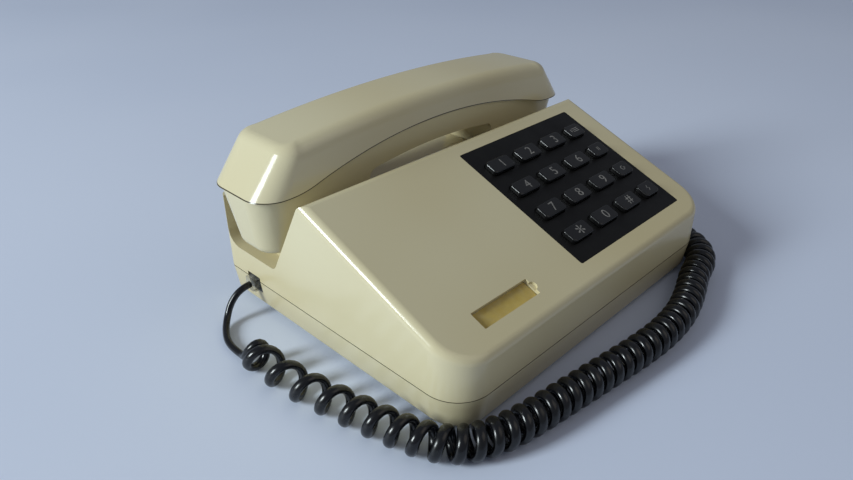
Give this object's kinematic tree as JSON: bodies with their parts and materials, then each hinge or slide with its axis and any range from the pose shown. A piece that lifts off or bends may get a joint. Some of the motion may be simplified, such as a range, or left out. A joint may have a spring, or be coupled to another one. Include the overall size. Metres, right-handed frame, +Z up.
{
  "type": "corded desk telephone",
  "caption": "Wedge-shaped corded desk telephone: handset lying across a rear cradle, dark push-button panel at right, name-card window at left, curly cord round the front.",
  "frame": {"origin": "middle of the bounding box of desk set and handset, on the table plane under the rubber feet", "axes": "+X to the user's right along the handset, +Y from the user to the rear, +Z up"},
  "size_m": [0.2661, 0.1959, 0.0997],
  "materials": {
    "ivory_plastic": "fine moulded texture, slight sheen",
    "panel_plastic": "fine grain, satin",
    "key_plastic": "satin with pale printed marks",
    "black_plastic": "satin",
    "grey_plastic": "satin",
    "circuit_board": "glass-fibre laminate",
    "clear_plastic": "clear polished",
    "card_paper": "aged card",
    "black_rubber": "matt",
    "steel": "zinc plated",
    "can_metal": "plain",
    "cord_sheath": "smooth gloss sheath"
  },
  "bodies": {
    "base": {"ballast_plate": "steel", "board_components": "black_plastic", "cord_curls": "cord_sheath", "cord_lead_base": "cord_sheath", "cord_plug_base": "clear_plastic", "handset_socket": "black_plastic", "hook_spring": "steel", "hook_switch": "black_plastic", "housing_screws": "steel", "key_mat": "black_rubber", "keypad_board": "circuit_board", "keypad_board_screws": "steel", "keypad_panel": "panel_plastic", "line_socket": "black_plastic", "lower_housing": "ivory_plastic", "main_board": "circuit_board", "name_card": "card_paper", "name_cover": "clear_plastic", "ribbon_cable": "grey_plastic", "ringer": "black_plastic", "rubber_feet": "black_rubber", "upper_housing": "ivory_plastic"},
    "handset": {"handset_upper_shell": "ivory_plastic", "handset_lower_shell": "ivory_plastic", "receiver": "black_plastic", "receiver_gasket": "black_rubber", "microphone": "can_metal", "microphone_holder": "black_rubber", "handset_weight": "steel", "handset_screws": "steel", "handset_cord_socket": "black_plastic", "cord_plug_handset": "clear_plastic", "cord_lead_handset": "cord_sheath"},
    "hook": {"hook_plunger": "ivory_plastic"},
    "key_0_body": {"key_0": "key_plastic"},
    "key_1_body": {"key_1": "key_plastic"},
    "key_2_body": {"key_2": "key_plastic"},
    "key_3_body": {"key_3": "key_plastic"},
    "key_4_body": {"key_4": "key_plastic"},
    "key_5_body": {"key_5": "key_plastic"},
    "key_6_body": {"key_6": "key_plastic"},
    "key_7_body": {"key_7": "key_plastic"},
    "key_8_body": {"key_8": "key_plastic"},
    "key_9_body": {"key_9": "key_plastic"},
    "key_function_1_body": {"key_function_1": "key_plastic"},
    "key_function_2_body": {"key_function_2": "key_plastic"},
    "key_function_3_body": {"key_function_3": "key_plastic"},
    "key_function_4_body": {"key_function_4": "key_plastic"},
    "key_hash_body": {"key_hash": "key_plastic"},
    "key_star_body": {"key_star": "key_plastic"}
  },
  "joints": [
    {"name": "handset_lift", "type": "slide", "parent": "base", "child": "handset", "axis": [0, 0, 1], "range_m": [0, 0.11]},
    {"name": "hook_rise", "type": "slide", "parent": "base", "child": "hook", "axis": [0, 0, 1], "range_m": [0, 0.005], "deforming": ["hook_spring"]},
    {"name": "key_0_press", "type": "slide", "parent": "base", "child": "key_0_body", "axis": [0, 0.3709, -0.9287], "range_m": [0, 0.002], "stiffness_N_per_m": 300, "springref_m": -0.0005},
    {"name": "key_1_press", "type": "slide", "parent": "base", "child": "key_1_body", "axis": [0, 0.3709, -0.9287], "range_m": [0, 0.002], "stiffness_N_per_m": 300, "springref_m": -0.0005},
    {"name": "key_2_press", "type": "slide", "parent": "base", "child": "key_2_body", "axis": [0, 0.3709, -0.9287], "range_m": [0, 0.002], "stiffness_N_per_m": 300, "springref_m": -0.0005},
    {"name": "key_3_press", "type": "slide", "parent": "base", "child": "key_3_body", "axis": [0, 0.3709, -0.9287], "range_m": [0, 0.002], "stiffness_N_per_m": 300, "springref_m": -0.0005},
    {"name": "key_4_press", "type": "slide", "parent": "base", "child": "key_4_body", "axis": [0, 0.3709, -0.9287], "range_m": [0, 0.002], "stiffness_N_per_m": 300, "springref_m": -0.0005},
    {"name": "key_5_press", "type": "slide", "parent": "base", "child": "key_5_body", "axis": [0, 0.3709, -0.9287], "range_m": [0, 0.002], "stiffness_N_per_m": 300, "springref_m": -0.0005},
    {"name": "key_6_press", "type": "slide", "parent": "base", "child": "key_6_body", "axis": [0, 0.3709, -0.9287], "range_m": [0, 0.002], "stiffness_N_per_m": 300, "springref_m": -0.0005},
    {"name": "key_7_press", "type": "slide", "parent": "base", "child": "key_7_body", "axis": [0, 0.3709, -0.9287], "range_m": [0, 0.002], "stiffness_N_per_m": 300, "springref_m": -0.0005},
    {"name": "key_8_press", "type": "slide", "parent": "base", "child": "key_8_body", "axis": [0, 0.3709, -0.9287], "range_m": [0, 0.002], "stiffness_N_per_m": 300, "springref_m": -0.0005},
    {"name": "key_9_press", "type": "slide", "parent": "base", "child": "key_9_body", "axis": [0, 0.3709, -0.9287], "range_m": [0, 0.002], "stiffness_N_per_m": 300, "springref_m": -0.0005},
    {"name": "key_function_1_press", "type": "slide", "parent": "base", "child": "key_function_1_body", "axis": [0, 0.3709, -0.9287], "range_m": [0, 0.002], "stiffness_N_per_m": 300, "springref_m": -0.0005},
    {"name": "key_function_2_press", "type": "slide", "parent": "base", "child": "key_function_2_body", "axis": [0, 0.3709, -0.9287], "range_m": [0, 0.002], "stiffness_N_per_m": 300, "springref_m": -0.0005},
    {"name": "key_function_3_press", "type": "slide", "parent": "base", "child": "key_function_3_body", "axis": [0, 0.3709, -0.9287], "range_m": [0, 0.002], "stiffness_N_per_m": 300, "springref_m": -0.0005},
    {"name": "key_function_4_press", "type": "slide", "parent": "base", "child": "key_function_4_body", "axis": [0, 0.3709, -0.9287], "range_m": [0, 0.002], "stiffness_N_per_m": 300, "springref_m": -0.0005},
    {"name": "key_hash_press", "type": "slide", "parent": "base", "child": "key_hash_body", "axis": [0, 0.3709, -0.9287], "range_m": [0, 0.002], "stiffness_N_per_m": 300, "springref_m": -0.0005},
    {"name": "key_star_press", "type": "slide", "parent": "base", "child": "key_star_body", "axis": [0, 0.3709, -0.9287], "range_m": [0, 0.002], "stiffness_N_per_m": 300, "springref_m": -0.0005}
  ],
  "couplings": [
    {"joint": "hook_rise", "follows": "handset_lift", "ratio": 0.045455}
  ]
}
